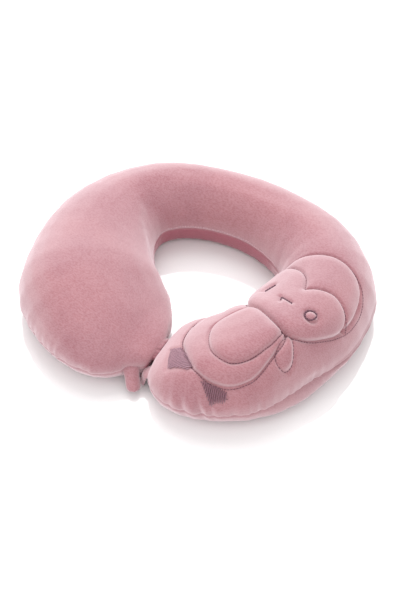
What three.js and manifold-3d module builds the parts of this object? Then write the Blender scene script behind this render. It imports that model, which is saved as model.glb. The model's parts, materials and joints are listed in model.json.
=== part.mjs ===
// A child's u shaped neck pillow: a foam U in a zipped plush cover, with two tabs, a press stud and a quilted
// penguin. Millimetres. +Z is up from the resting face, +Y is the back of the U, the arms end towards -Y, and
// the penguin lies on the +X arm. The finished group is moved so that its origin is the bottom centre of its
// bounding box. The U flexes, so each piece that runs round it is a right and a left half, which meet at the
// back.
import * as THREE from 'three';
import { mergeVertices } from 'three/addons/utils/BufferGeometryUtils.js';
import Module from 'manifold-3d';

const wasm = await Module();
wasm.setup();

// ---------------------------------------------------------------- driving dimensions
// Each arm is a row of stations from the middle of the back to the lobe tip: x, y and half width.
const ARMS = {
  right: {
    side: 1,
    stations: [
      [0, 79.2, 22.7],
      [73.3, 49.9, 31.9],
      [84.5, 5, 39.6],
      [55.2, -60.5, 45.2],
      [4.4, -70.5, 42.5],
    ],
    outerRoll: 15,
    zipped: true,
  },
  left: {
    side: -1,
    stations: [
      [0, 79.2, 22.7],
      [73, 51.1, 27.9],
      [86, 6.1, 41.7],
      [52.8, -57.4, 52.2],
      [3.1, -70.6, 45.4],
    ],
    outerRoll: 27,
    zipped: false,
  },
};
const BACK_HEIGHT = 50;
const LOBE_HEIGHT = 54;
const OUTER_SEAM_Z = 13.8;
const INNER_SEAM_Z = 15.6;
const INNER_ROLL = 4;
const TIP_LENGTH = 47.6; // stretch over which the outline rounds off
const TIP_ROUNDNESS = 3.1;
const CROWN_LENGTH = 81.2; // stretch over which the crown comes down to the tip
const CROWN_ROUNDNESS = 1.54;
const CREST_SHIFT = 0.18; // the crown leans outwards by this share of the half width

const HALVES_GAP = 0.4;
const SEAM_GAP = 0.3;
const COVER_THICKNESS = 1.8;
const LINER_INSET = 3.2;
const LINER_THICKNESS = 0.6;
const FOAM_INSET = 5;

// Zip: inside the outer seam of the right arm, which runs along an arc of a circle there.
const ZIP_CENTRE = [45.3, 10.8];
const ZIP_RADIUS = 83;
const ZIP_CLOSED_AT = 65; // degrees from +X, at the back
const ZIP_OPEN_AT = -17;
const ARC_FROM = 46; // distances from the back, along the arm, where the seam joins and leaves the circle
const ARC_TO = 146;
const ARC_FADE_IN = 26;
const ARC_FADE_OUT = 52;
const ZIP_FROM = 58; // the slot between the panels
const ZIP_TO = 144;
const ZIP_SLOT = 1.7;
const ZIP_POCKET = 7; // the liner and foam stand back this much more behind the zip
const SLIDER_INSET = 3.9;
const SLIDER_LENGTH = 9;
const SLIDER_HEIGHT = 7;
const SLIDER_PLATE = 0.9;
const SLIDER_NECK = 1;
const TEETH_INSET = 5.4;
const TEETH_DEPTH = 1.3;
const TEETH_PITCH = 2.8;
const TAPE_DEPTH = 0.6;
const TAPE_WIDTH = 6.5;
const STOP_LENGTH = 2.4;
const SLIDER_PARK = STOP_LENGTH + SLIDER_LENGTH / 2 + 0.8; // distance of its middle from the closed end
const BAIL = { reach: 3.5, half: 2.8, bar: 1 }; // the slider's loop outside the seam, which holds the pull
const PULL = { length: 12, width: 3, thickness: 1.1, eyeRadius: 1.75, boreRadius: 1.05 };

// Tabs and press stud.
const TAB_WIDTH = 12;
const TAB_THICKNESS = 1.6;
const STUD_RADIUS = 3.6;
const KNOB_RADIUS = 1.5;

// Penguin, laid out on the plan of the right arm: centre, long and short radius, turn of the long axis
// from +X in degrees.
const LONG_AXIS = -75;
const HEAD = { at: [84.2, 2.1], radii: [43.6, 36.7], turn: LONG_AXIS };
const BODY = { at: [55.7, -55.3], radii: [40.4, 34.5], turn: LONG_AXIS };
const BELLY = { at: [62.6, -55.8], radii: [25.2, 22], turn: 68 };
const CHEEK_LEFT = { at: [60, -2], radius: 22.7 };
const CHEEK_RIGHT = { at: [101, -14], radius: 20.6 };
const FLIPPER_ROOT = [91, -42];
const FLIPPER_TIP = [101.5, -64.5];
const FLIPPER_WIDTH = 9;
const EYE_RIGHT = { at: [98.4, -19.7], radii: [4.4, 3.6], turn: LONG_AXIS };
const EYE_LEFT = { at: [59, -6], radii: [4.4, 3.2], turn: LONG_AXIS };
const BEAK = [[71, -13.5], [81, -17.5], [76.5, -23]];
const FOOT_LEFT = [
  [18.7, -78.1], [26, -76.4], [33, -82.5], [42.7, -91.5], [39.8, -93.9], [31.4, -94.2], [24, -95],
];
const FOOT_RIGHT = [
  [52.4, -98], [57, -95.7], [66, -95.6], [73, -93.5], [73, -97], [71, -99.5], [63.3, -103.6],
];
const SATIN_LIFT = 2.2; // over the threads
const SATIN_THICKNESS = 0.6;
const THREAD = 0.9;
const THREAD_LIFT = 0.9;
const WADDING_FROM = 3; // depths below the face of the plush
const WADDING_TO = 4;
const WADDING_POCKET = 3;

const ROWS = 22; // along an arm
const CROWN_COLUMNS = 12; // across the top panel
const ROLL_COLUMNS = 3; // round each bottom edge

const COLOURS = {
  plush: 0xd59aa3,
  seam: 0xcf8f99,
  thread: 0x8d5a6b,
  satinLight: 0xa9808f,
  satinDark: 0x7b4f60,
  liner: 0xf1ece6,
  foam: 0xf0e4c3,
  wadding: 0xf6f3ee,
  tape: 0xcc8d98,
  teeth: 0xbf8490,
  metal: 0xb9b6b2,
  stud: 0xd8a3ab,
};

// ---------------------------------------------------------------- small helpers
const radians = (degrees) => (degrees * Math.PI) / 180;
const clamp = THREE.MathUtils.clamp;
const lerp = THREE.MathUtils.lerp;
const smoothstep = THREE.MathUtils.smoothstep;
// How much of a stretch is behind, from 0 to exactly 1 at its end.
function shareOf(distance, stretch) {
  const share = distance / stretch;
  return share > 1 - 1e-9 ? 1 : Math.max(share, 0);
}
const steps = (count) => Array.from({ length: count + 1 }, (_, i) => i / count);

// Cubic spline through the values. It leaves the first with startSlope and has no bend at the last.
function spline(at, values, startSlope) {
  const last = at.length - 1;
  const bend = new Array(at.length).fill(0);
  const load = new Array(at.length).fill(0);
  const slope = (i) => (values[i + 1] - values[i]) / (at[i + 1] - at[i]);
  bend[0] = -0.5;
  load[0] = (3 / (at[1] - at[0])) * (slope(0) - startSlope);
  for (let i = 1; i < last; i++) {
    const span = at[i + 1] - at[i - 1];
    const share = (at[i] - at[i - 1]) / span;
    const pivot = share * bend[i - 1] + 2;
    bend[i] = (share - 1) / pivot;
    load[i] = ((6 * (slope(i) - slope(i - 1))) / span - share * load[i - 1]) / pivot;
  }
  bend[last] = 0;
  for (let i = last - 1; i >= 0; i--) bend[i] = bend[i] * bend[i + 1] + load[i];
  return (t) => {
    let i = 0;
    while (i < last - 1 && t > at[i + 1]) i++;
    const h = at[i + 1] - at[i];
    const a = (at[i + 1] - t) / h;
    const b = (t - at[i]) / h;
    const curve = (a ** 3 - a) * bend[i] + (b ** 3 - b) * bend[i + 1];
    return a * values[i] + b * values[i + 1] + (curve * h * h) / 6;
  };
}

// A BufferGeometry from triangles of points, without the ones that have no area, its faces turned outwards.
function closedBody(triangles) {
  const corners = [];
  let volume = 0;
  for (const [a, b, c] of triangles) {
    const area = new THREE.Vector3().crossVectors(b.clone().sub(a), c.clone().sub(a)).length();
    if (area < 1e-7) continue;
    volume += a.dot(new THREE.Vector3().crossVectors(b, c));
    corners.push([a, b, c]);
  }
  const turnedOut = corners.flatMap(([a, b, c]) => (volume > 0 ? [a, b, c] : [a, c, b]));
  const positions = turnedOut.flatMap((point) => point.toArray());
  const geometry = new THREE.BufferGeometry();
  geometry.setAttribute('position', new THREE.Float32BufferAttribute(positions, 3));
  const merged = mergeVertices(geometry, 1e-4);
  merged.computeVertexNormals();
  return merged;
}

// Two triangles for each square of a grid of points, whose rows close on themselves with wrap.
function quads(grid, wrap) {
  const faces = [];
  for (let i = 0; i + 1 < grid.length; i++) {
    const [row, above] = [grid[i], grid[i + 1]];
    const count = row.length;
    for (let j = 0; j < (wrap ? count : count - 1); j++) {
      const next = (j + 1) % count;
      faces.push([row[j], above[j], above[next]]);
      faces.push([row[j], above[next], row[next]]);
    }
  }
  return faces;
}

// The wall between two grids of the same size: a closed sheet, or with wrap a sleeve open at its first row.
function sheet(outer, inner, wrap = false) {
  const turned = quads(inner, wrap).map(([a, b, c]) => [a, c, b]);
  const edges = [];
  const rim = (p, q) => edges.push(...quads(p.map((point, i) => [point, q[i]]), false));
  const ring = (row) => (wrap ? [...row, row[0]] : row);
  rim(ring(outer[0]), ring(inner[0]));
  rim(ring(inner.at(-1)), ring(outer.at(-1)));
  if (!wrap) {
    rim(inner.map((row) => row[0]), outer.map((row) => row[0]));
    rim(outer.map((row) => row.at(-1)), inner.map((row) => row.at(-1)));
  }
  return closedBody([...quads(outer, wrap), ...turned, ...edges]);
}

// A solid from rings of points, closed at both ends.
function solid(rings) {
  const lid = (ring, flip) => {
    const middle = ring.reduce((sum, p) => sum.add(p), new THREE.Vector3()).divideScalar(ring.length);
    return ring.map((p, j) => {
      const next = ring[(j + 1) % ring.length];
      return flip ? [middle, next, p] : [middle, p, next];
    });
  };
  return closedBody([...quads(rings, true), ...lid(rings[0], false), ...lid(rings.at(-1), true)]);
}

// ---------------------------------------------------------------- joining and cutting
function asManifold(geometry) {
  const bare = geometry.clone();
  bare.deleteAttribute('normal');
  bare.deleteAttribute('uv');
  const merged = mergeVertices(bare, 1e-4);
  return new wasm.Manifold(new wasm.Mesh({
    numProp: 3,
    vertProperties: new Float32Array(merged.attributes.position.array),
    triVerts: new Uint32Array(merged.index.array),
  }));
}

function asGeometry(manifold) {
  const mesh = manifold.getMesh();
  const geometry = new THREE.BufferGeometry();
  const positions = new Float32Array(mesh.numVert * 3);
  for (let i = 0; i < mesh.numVert; i++) {
    positions.set(mesh.vertProperties.subarray(i * mesh.numProp, i * mesh.numProp + 3), i * 3);
  }
  geometry.setAttribute('position', new THREE.BufferAttribute(positions, 3));
  geometry.setIndex(new THREE.BufferAttribute(new Uint32Array(mesh.triVerts), 1));
  geometry.computeVertexNormals();
  return geometry;
}

const joined = (a, b) => asGeometry(asManifold(a).add(asManifold(b)));

function cutBy(a, ...tools) {
  return asGeometry(tools.reduce((left, tool) => left.subtract(asManifold(tool)), asManifold(a)));
}

// ---------------------------------------------------------------- the arm's surface
// Distance from a point of the arm's centreline, going outwards, to the circle that the zip follows.
function reachOfCircle(x, y, outX, outY) {
  const dx = x + HALVES_GAP / 2 - ZIP_CENTRE[0];
  const dy = y - ZIP_CENTRE[1];
  const along = dx * outX + dy * outY;
  return Math.sqrt(along ** 2 + ZIP_RADIUS ** 2 - dx ** 2 - dy ** 2) - along;
}

function makeArm({ side, stations, outerRoll, zipped }) {
  const knots = [0];
  for (let i = 1; i < stations.length; i++) {
    const [x0, y0] = stations[i - 1];
    const [x1, y1] = stations[i];
    knots.push(knots[i - 1] + Math.hypot(x1 - x0, y1 - y0));
  }
  const column = (k) => stations.map((station) => station[k]);
  const xAt = spline(knots, column(0), 1);
  const yAt = spline(knots, column(1), 0);
  const widthAt = spline(knots, column(2), 0);

  // Distance along the curve for a fine row of spline parameters, so that rows are placed by true length.
  const fine = steps(300).map((u) => u * knots.at(-1));
  const lengths = [0];
  for (let i = 1; i < fine.length; i++) {
    const run = Math.hypot(xAt(fine[i]) - xAt(fine[i - 1]), yAt(fine[i]) - yAt(fine[i - 1]));
    lengths.push(lengths[i - 1] + run);
  }
  const length = lengths.at(-1);
  const onArc = (s) => smoothstep(s, ARC_FROM - ARC_FADE_IN, ARC_FROM)
    * (1 - smoothstep(s, ARC_TO, ARC_TO + ARC_FADE_OUT));
  const parameter = (s) => {
    let i = 1;
    while (i < lengths.length - 1 && lengths[i] < s) i++;
    return lerp(fine[i - 1], fine[i], (s - lengths[i - 1]) / (lengths[i] - lengths[i - 1]));
  };

  // Everything about the section at distance s, for a surface lying `inset` below the outside of the cover.
  const section = (s, inset) => {
    const t = parameter(clamp(s, 0, length));
    const step = 0.05;
    const t0 = Math.max(t - step, 0);
    const t1 = Math.min(t + step, knots.at(-1));
    const along = new THREE.Vector2(xAt(t1) - xAt(t0), yAt(t1) - yAt(t0)).normalize();
    const reach = length - inset;
    const tip = shareOf(s - (reach - TIP_LENGTH), TIP_LENGTH);
    const crown = shareOf(s - (reach - CROWN_LENGTH), CROWN_LENGTH);
    const outlineCap = (1 - tip ** TIP_ROUNDNESS) ** (1 / TIP_ROUNDNESS);
    const crownCap = (1 - crown ** CROWN_ROUNDNESS) ** (1 / CROWN_ROUNDNESS);
    const rise = smoothstep(s, 0, 0.75 * length);
    const [x, y, outX, outY] = [xAt(t), yAt(t), -along.y, along.x];
    return {
      x,
      y,
      outX,
      outY,
      half: (widthAt(t) - inset) * outlineCap,
      swell: zipped ? onArc(s) * (reachOfCircle(x, y, outX, outY) - widthAt(t)) : 0,
      height: lerp(BACK_HEIGHT, LOBE_HEIGHT, rise) - inset,
      crownCap,
      floorCap: tip < 1 ? 1 : 0,
      outlineCap,
    };
  };

  const place = (section_, across, z) =>
    new THREE.Vector3(
      side * (section_.x + section_.outX * across + HALVES_GAP / 2),
      section_.y + section_.outY * across,
      z,
    );

  // The seam is a little higher inside than outside, and the two sides meet at the tip.
  const seamZ = (here, c) => {
    const middle = (OUTER_SEAM_Z + INNER_SEAM_Z) / 2;
    return lerp(middle, lerp(OUTER_SEAM_Z, INNER_SEAM_Z, (1 - c) / 2), here.outlineCap);
  };

  // The crown: angle 0 is the outer seam and angle PI the inner seam.
  const crownAcross = (here, angle) => {
    const c = Math.cos(angle);
    return here.half * (c + CREST_SHIFT * Math.sin(angle) ** 2) + here.swell * Math.max(c, 0);
  };
  const crownPoint = (s, angle, inset, lift = 0) => {
    const here = section(s, inset);
    const c = Math.cos(angle);
    const across = crownAcross(here, angle);
    const seam = seamZ(here, c) + lift;
    return place(here, across, seam + (here.height - seam) * Math.sin(angle) * here.crownCap);
  };

  // The roll from a seam down to the floor: turn 0 is the seam and PI / 2 is the flat bottom.
  const rollPoint = (s, outside, turn, inset, drop = 0) => {
    const here = section(s, inset);
    const seam = seamZ(here, outside ? 1 : -1) - drop;
    const roll = Math.min(outside ? outerRoll : INNER_ROLL, here.half * 0.8);
    const edge = here.half - roll * (1 - Math.cos(turn)) + (outside ? here.swell : 0);
    return place(here, outside ? edge : -edge, seam - (seam - inset) * Math.sin(turn) * here.floorCap);
  };

  // A spot on the seam line, `stand` proud of the cloth.
  const seamPoint = (s, outside, stand) => {
    const here = section(s, 0);
    const edge = here.half + stand + (outside ? here.swell : 0);
    return place(here, outside ? edge : -edge, seamZ(here, outside ? 1 : -1));
  };

  return { side, length, section, crownAcross, crownPoint, rollPoint, seamPoint };
}

const arms = { right: makeArm(ARMS.right), left: makeArm(ARMS.left) };

// Rows lie closer together towards the tip.
const rowsOf = (arm, inset) => steps(ROWS).map((u) => (arm.length - inset) * (1 - (1 - u) ** 1.3));

const crownAngles = steps(CROWN_COLUMNS).map((u) => u * Math.PI);
const rollTurns = steps(ROLL_COLUMNS).map((u) => (u * Math.PI) / 2);

// dent(s, across) adds to the inset, to leave room under the cover.
const noDent = () => 0;

function crownGrid(arm, inset, angles, dent, lift) {
  return rowsOf(arm, inset).map((s) => angles.map((angle) => {
    const c = Math.cos(angle);
    return arm.crownPoint(s, angle, inset + dent(s, c), lift(s, c));
  }));
}

function rollGrid(arm, inset, dent, drop) {
  return rowsOf(arm, inset).map((s) => [
    ...rollTurns.map((turn) => arm.rollPoint(s, false, turn, inset, drop(s, false))),
    ...rollTurns.toReversed().map((turn) => arm.rollPoint(s, true, turn, inset + dent(s, 1), drop(s, true))),
  ]);
}

// ---------------------------------------------------------------- pieces of the cover and its filling

// 1 along the zip, fading out a little beyond its ends.
function zipWindow(s) {
  return smoothstep(s, ZIP_FROM - 30, ZIP_FROM - 12) * (1 - smoothstep(s, ZIP_TO + 8, ZIP_TO + 26));
}

// Half the gap between the panels: wide over the zip, narrow along the rest of the seam.
function slotAt(arm) {
  return (s, outside) => {
    const overZip = arm.side > 0 && outside && s > ZIP_FROM - 6 && s < ZIP_TO + 6;
    return overZip ? ZIP_SLOT / 2 : SEAM_GAP / 2;
  };
}

function coverTop(arm) {
  const slot = slotAt(arm);
  const lift = (s, c) => (c > 0.999 ? slot(s, true) : SEAM_GAP / 2);
  const layer = (inset) => crownGrid(arm, inset, crownAngles, noDent, lift);
  return sheet(layer(0), layer(COVER_THICKNESS));
}

function coverBottom(arm) {
  const slot = slotAt(arm);
  const layer = (inset) => rollGrid(arm, inset, noDent, slot);
  return sheet(layer(0), layer(COVER_THICKNESS));
}

// Room under the cover for the zip on the outer wall and for the wadding under the penguin.
function fillingDent(arm) {
  if (arm.side < 0) return noDent;
  return (s, c) => {
    const wall = smoothstep(c, 0.45, 0.8);
    const beforeTip = 1 - smoothstep(s, arm.length - 26, arm.length - 10);
    const underPenguin = smoothstep(s, 60, 85) * beforeTip * (1 - smoothstep(c, 0.75, 0.95));
    return ZIP_POCKET * zipWindow(s) * wall + WADDING_POCKET * underPenguin * (1 - wall);
  };
}

function fillingRings(arm, inset) {
  const dent = fillingDent(arm);
  const inner = crownAngles.slice(1, -1);
  const crown = crownGrid(arm, inset, inner, dent, () => 0);
  const roll = rollGrid(arm, inset, dent, () => 0);
  return crown.map((row, i) => [...row, ...roll[i]]);
}

function liner(arm) {
  const layer = (inset) => fillingRings(arm, inset);
  return sheet(layer(LINER_INSET), layer(LINER_INSET + LINER_THICKNESS), true);
}

const foamCore = (arm) => solid(fillingRings(arm, FOAM_INSET));

// ---------------------------------------------------------------- cords and threads
// A three sided cord along points, each with the direction that lifts it off the cloth.
function cord(points, lifts, radius, closed) {
  const count = points.length;
  const rings = points.map((point, i) => {
    const before = points[closed ? (i + count - 1) % count : Math.max(i - 1, 0)];
    const after = points[closed ? (i + 1) % count : Math.min(i + 1, count - 1)];
    const along = after.clone().sub(before).normalize();
    const up = lifts[i].clone().addScaledVector(along, -lifts[i].dot(along)).normalize();
    const across = new THREE.Vector3().crossVectors(along, up);
    return [90, 210, 330].map((turn) => point.clone()
      .addScaledVector(up, radius * Math.sin(radians(turn)))
      .addScaledVector(across, radius * Math.cos(radians(turn))));
  });
  return closed ? closedBody(quads([...rings, rings[0]], true)) : solid(rings);
}

function seamCord(arm, outside, from, to, { stand, radius }) {
  const rows = rowsOf(arm, 0).filter((s) => s >= from && s <= to);
  const spots = rows.map((s) => arm.seamPoint(s, outside, stand));
  const lifts = rows.map((s, i) => spots[i].clone().sub(arm.seamPoint(s, outside, 0)));
  return cord(spots, lifts, radius, false);
}

// ---------------------------------------------------------------- the penguin
// The crown point of the right arm that lies over a plan point, with its upward normal.
function overPlan([x, y], inset = 0) {
  const arm = arms.right;
  let best = 0;
  let least = Infinity;
  for (const s of steps(600).map((u) => u * arm.length)) {
    const here = arm.section(s, 0);
    const distance = Math.hypot(here.x - x, here.y - y);
    if (distance < least) [best, least] = [s, distance];
  }
  const here = arm.section(best, 0);
  const offset = (x - here.x) * here.outX + (y - here.y) * here.outY;
  let low = 0;
  let high = Math.PI;
  for (let i = 0; i < 40; i++) {
    const angle = (low + high) / 2;
    if (arm.crownAcross(here, angle) > offset) low = angle;
    else high = angle;
  }
  const angle = clamp(low, 0.12, Math.PI - 0.3);
  const at = (s, turn) => arm.crownPoint(s, turn, inset);
  const alongStep = at(best + 0.5, angle).sub(at(best - 0.5, angle));
  const acrossStep = at(best, angle + 0.02).sub(at(best, angle - 0.02));
  const normal = new THREE.Vector3().crossVectors(alongStep, acrossStep).normalize();
  if (normal.z < 0) normal.negate();
  return { point: arm.crownPoint(best, angle, inset), normal };
}

function ellipse({ at, radii, turn }, count) {
  const [c, s] = [Math.cos(radians(turn)), Math.sin(radians(turn))];
  return steps(count).slice(0, -1).map((u) => {
    const a = radii[0] * Math.cos(2 * Math.PI * u);
    const b = radii[1] * Math.sin(2 * Math.PI * u);
    return [at[0] + a * c - b * s, at[1] + a * s + b * c];
  });
}

function stitched(outline, closed = true, radius = THREAD / 2) {
  const spots = outline.map((point) => overPlan(point));
  const lift = THREAD_LIFT + radius;
  const raised = spots.map(({ point, normal }) => point.clone().addScaledVector(normal, lift));
  return cord(raised, spots.map(({ normal }) => normal), radius, closed);
}

// Arc of a circle from one angle to another, in degrees.
function arc({ at, radius }, from, to, count) {
  return steps(count).map((u) => {
    const angle = radians(lerp(from, to, u));
    return [at[0] + radius * Math.cos(angle), at[1] + radius * Math.sin(angle)];
  });
}

// The two cheeks meet in a notch between the eyes, and each ends on the head outline.
function faceOutline() {
  return [...arc(CHEEK_LEFT, 128, 12, 10), ...arc(CHEEK_RIGHT, 128, -14, 12)];
}

// A leaf from root to tip.
function leaf(root, tip, width, count) {
  const along = new THREE.Vector2(tip[0] - root[0], tip[1] - root[1]);
  const side = new THREE.Vector2(-along.y, along.x).normalize();
  return steps(count).slice(0, -1).map((u) => {
    const turn = 2 * Math.PI * u;
    const reach = (1 - Math.cos(turn)) / 2;
    const spread = (width / 2) * Math.sin(turn) * Math.sqrt(reach);
    return [root[0] + along.x * reach + side.x * spread, root[1] + along.y * reach + side.y * spread];
  });
}

// A pad between two depths under the plush: rings that shrink towards the middle of an outline.
function pad(outline, from, to) {
  const middle = [0, 1].map((k) => outline.reduce((sum, p) => sum + p[k] / outline.length, 0));
  const layer = (depth) => [1, 0.66, 0.33].map((share) => outline.map((p) => {
    const { point, normal } = overPlan([lerp(middle[0], p[0], share), lerp(middle[1], p[1], share)]);
    return point.addScaledVector(normal, -depth);
  }));
  return solid([...layer(from).reverse(), ...layer(to)]);
}

const grown = (oval, by) => ({ ...oval, radii: oval.radii.map((radius) => radius + by) });
const wadding = (oval) => pad(ellipse(grown(oval, -5), 20), WADDING_FROM, WADDING_TO);
const clearance = (oval) => pad(ellipse(grown(oval, -3), 20), WADDING_FROM - 2, WADDING_TO + 2);

// True where a plan point lies outside an oval.
function outside({ at, radii, turn }, [x, y]) {
  const [c, s] = [Math.cos(radians(turn)), Math.sin(radians(turn))];
  const a = ((x - at[0]) * c + (y - at[1]) * s) / radii[0];
  const b = (-(x - at[0]) * s + (y - at[1]) * c) / radii[1];
  return a * a + b * b > 1;
}

// The stretch of a closed outline that stays outside an oval, in order.
function clippedBy(oval, outline) {
  const kept = outline.map((point) => outside(oval, point));
  const first = kept.findIndex((keep, i) => keep && !kept[(i + kept.length - 1) % kept.length]);
  const reordered = [...outline.slice(first), ...outline.slice(0, first)];
  return reordered.filter((point) => outside(oval, point));
}

// ---------------------------------------------------------------- the zip
// Distances along the zip run from its closed end.
const zipAngle = (distance) => radians(ZIP_CLOSED_AT) - distance / ZIP_RADIUS;
const zipLength = radians(ZIP_CLOSED_AT - ZIP_OPEN_AT) * ZIP_RADIUS;

// A block bent along the zip: `profile` holds [inset, height above the seam] corners.
function alongZip(profile, from, to, count) {
  const rings = steps(count).map((u) => {
    const angle = zipAngle(lerp(from, to, u));
    return profile(u).map(([inset, z]) => {
      const r = ZIP_RADIUS - inset;
      const [x, y] = [ZIP_CENTRE[0] + r * Math.cos(angle), ZIP_CENTRE[1] + r * Math.sin(angle)];
      return new THREE.Vector3(x, y, OUTER_SEAM_Z + z);
    });
  });
  return solid(rings);
}

const box = (i0, i1, z0, z1) => [[i0, z0], [i1, z0], [i1, z1], [i0, z1]];

function zipTape(direction) {
  const near = direction * 2.7;
  const far = direction * (2.7 + TAPE_WIDTH);
  const lean = direction > 0 ? 1.1 : 4.4; // the tape follows the cover wall as it curves in
  const outer = TEETH_INSET + 0.35;
  const inner = outer + TAPE_DEPTH;
  const corners = [[outer, near], [inner, near], [inner + lean, far], [outer + lean, far]];
  return alongZip(() => corners, 0, zipLength, 14);
}

function zipTeeth(direction) {
  const count = Math.round(zipLength / TEETH_PITCH) * 2;
  const height = (u) => (Math.round(u * count) % 2 ? 2.35 : 1.95);
  return alongZip(
    (u) => box(TEETH_INSET, TEETH_INSET + TEETH_DEPTH, direction * 0.85, direction * height(u)),
    STOP_LENGTH + 0.4,
    zipLength - STOP_LENGTH - 0.4,
    count,
  );
}

function zipStop(from) {
  const block = box(TEETH_INSET - 0.1, TEETH_INSET + TEETH_DEPTH + 0.1, -2, 2);
  return alongZip(() => block, from, from + STOP_LENGTH, 1);
}

// The frame of a piece parked at a distance along the zip: x outwards, y up and z along the seam.
function zipFrame(distance) {
  const angle = zipAngle(distance);
  const outwards = new THREE.Vector3(Math.cos(angle), Math.sin(angle), 0);
  const up = new THREE.Vector3(0, 0, 1);
  const along = new THREE.Vector3().crossVectors(outwards, up);
  const centre = new THREE.Vector3(...ZIP_CENTRE, OUTER_SEAM_Z);
  const spot = centre.addScaledVector(outwards, ZIP_RADIUS);
  return new THREE.Matrix4().makeBasis(outwards, up, along).setPosition(spot);
}

function extruded(shape, depth, curveSegments = 6) {
  return new THREE.ExtrudeGeometry(shape, { depth, bevelEnabled: false, curveSegments });
}

const polygon = (corners) => new THREE.Shape(corners.map(([x, y]) => new THREE.Vector2(x, y)));

// Front and back plates joined by a thin divider, and a loop that passes out through the slot for the pull.
function zipSlider() {
  const front = -SLIDER_INSET;
  const frontBack = front - SLIDER_PLATE;
  const back = -(TEETH_INSET + TEETH_DEPTH + 0.4);
  const backEnd = back - SLIDER_PLATE;
  const half = SLIDER_HEIGHT / 2;
  const neck = SLIDER_NECK / 2;
  const upper = [
    [front, half], [frontBack, half], [frontBack, neck], [back, neck], [back, half], [backEnd, half],
  ];
  const lower = upper.map(([x, y]) => [x, -y]).reverse();
  const body = extruded(polygon([...upper, ...lower]), SLIDER_LENGTH).translate(0, 0, -SLIDER_LENGTH / 2);

  const { reach, half: wide, bar } = BAIL;
  const loop = polygon(box(front - 0.3, reach, -wide, wide));
  const window = polygon(box(front + 0.9, reach - bar, -wide + bar, wide - bar).reverse());
  loop.holes.push(window);
  const bail = extruded(loop, SLIDER_NECK).translate(0, 0, -SLIDER_NECK / 2).rotateX(Math.PI / 2);
  return joined(body, bail).applyMatrix4(zipFrame(SLIDER_PARK));
}

// The pull: an eye round the bar of the loop, with a flat tail that hangs down outside the seam.
function zipPull() {
  const { length, width, thickness, eyeRadius, boreRadius } = PULL;
  const shape = new THREE.Shape();
  const half = thickness / 2;
  const neckAngle = Math.asin(half / eyeRadius);
  shape.absarc(0, 0, eyeRadius, -Math.PI / 2 + neckAngle, 1.5 * Math.PI - neckAngle, false);
  shape.lineTo(-half, -length);
  shape.lineTo(half, -length);
  shape.closePath();
  const bore = new THREE.Path();
  bore.absarc(0, 0, boreRadius, 0, 2 * Math.PI, true);
  shape.holes.push(bore);
  const tag = extruded(shape, width, 14).translate(BAIL.reach - BAIL.bar / 2, 0, -width / 2);
  return tag.applyMatrix4(zipFrame(SLIDER_PARK));
}

// ---------------------------------------------------------------- tabs and press stud
// A tab's own frame: x across it, y along it away from the seam, z out of its upper face, and the origin on
// the hinge line.
const TABS = {
  left: { root: [-4.7, -91, 11.6], heading: -51.5, droop: 34, length: 17 },
  right: { root: [5.4, -82, 12.2], heading: -165, droop: 74, length: 12.2 },
};

function tabGroup({ root, heading, droop }) {
  const group = new THREE.Group();
  const level = new THREE.Vector3(Math.cos(radians(heading)), Math.sin(radians(heading)), 0);
  const across = new THREE.Vector3(-level.y, level.x, 0).negate();
  const along = level.clone().multiplyScalar(Math.cos(radians(droop)));
  along.z = -Math.sin(radians(droop));
  const up = new THREE.Vector3().crossVectors(across, along);
  group.applyMatrix4(new THREE.Matrix4().makeBasis(across, along, up).setPosition(...root));
  return group;
}

// A strap with a round end.
function strap(length) {
  const half = TAB_WIDTH / 2;
  const shape = new THREE.Shape();
  shape.moveTo(half, 0);
  shape.lineTo(half, length - half);
  shape.absarc(0, length - half, half, 0, Math.PI, false);
  shape.lineTo(-half, 0);
  shape.closePath();
  return extruded(shape, TAB_THICKNESS, 10).translate(0, 0, -TAB_THICKNESS / 2);
}

// A turned part of the press stud, `along` the strap: [radius, height] corners, clockwise, of half a section.
function turned(profile, along) {
  const geometry = new THREE.LatheGeometry(profile.reverse().map(([r, z]) => new THREE.Vector2(r, z)), 14);
  return geometry.rotateX(Math.PI / 2).translate(0, along, 0);
}

const FACE = TAB_THICKNESS / 2 + 0.3; // where a half of the press stud starts, clear of the strap

// The socket half, sewn under the left tab: a disc with a cup in its lower face.
function studSocket(along) {
  const rim = KNOB_RADIUS + 0.3;
  const profile = [
    [0, -FACE],
    [STUD_RADIUS, -FACE],
    [STUD_RADIUS, -FACE - 1],
    [rim + 1, -FACE - 2.2],
    [rim, -FACE - 2.2],
    [rim, -FACE - 0.7],
    [0, -FACE - 0.7],
  ];
  return turned(profile, along);
}

// The knob half, sewn on the right tab: a disc with a waisted knob that snaps into the socket.
function studKnob(along) {
  const waist = KNOB_RADIUS - 0.25;
  const profile = [
    [0, FACE + 2.2],
    [KNOB_RADIUS - 0.2, FACE + 2.1],
    [KNOB_RADIUS, FACE + 1.8],
    [waist, FACE + 1],
    [STUD_RADIUS, FACE + 0.8],
    [STUD_RADIUS, FACE],
    [0, FACE],
  ];
  return turned(profile, along);
}

// ---------------------------------------------------------------- assembly
const pillow = new THREE.Group();

function add(name, geometry, colour, roughness = 0.95, metalness = 0, parent = pillow) {
  const material = new THREE.MeshStandardMaterial({ color: colour, roughness, metalness });
  const mesh = new THREE.Mesh(geometry, material);
  mesh.name = name;
  parent.add(mesh);
  return mesh;
}

for (const [name, arm] of Object.entries(arms)) {
  add(`cover_top_${name}`, coverTop(arm), COLOURS.plush);
  add(`cover_bottom_${name}`, coverBottom(arm), COLOURS.plush);
  add(`liner_${name}`, liner(arm), COLOURS.liner);
  add(`foam_core_${name}`, foamCore(arm), COLOURS.foam);
}

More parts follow.
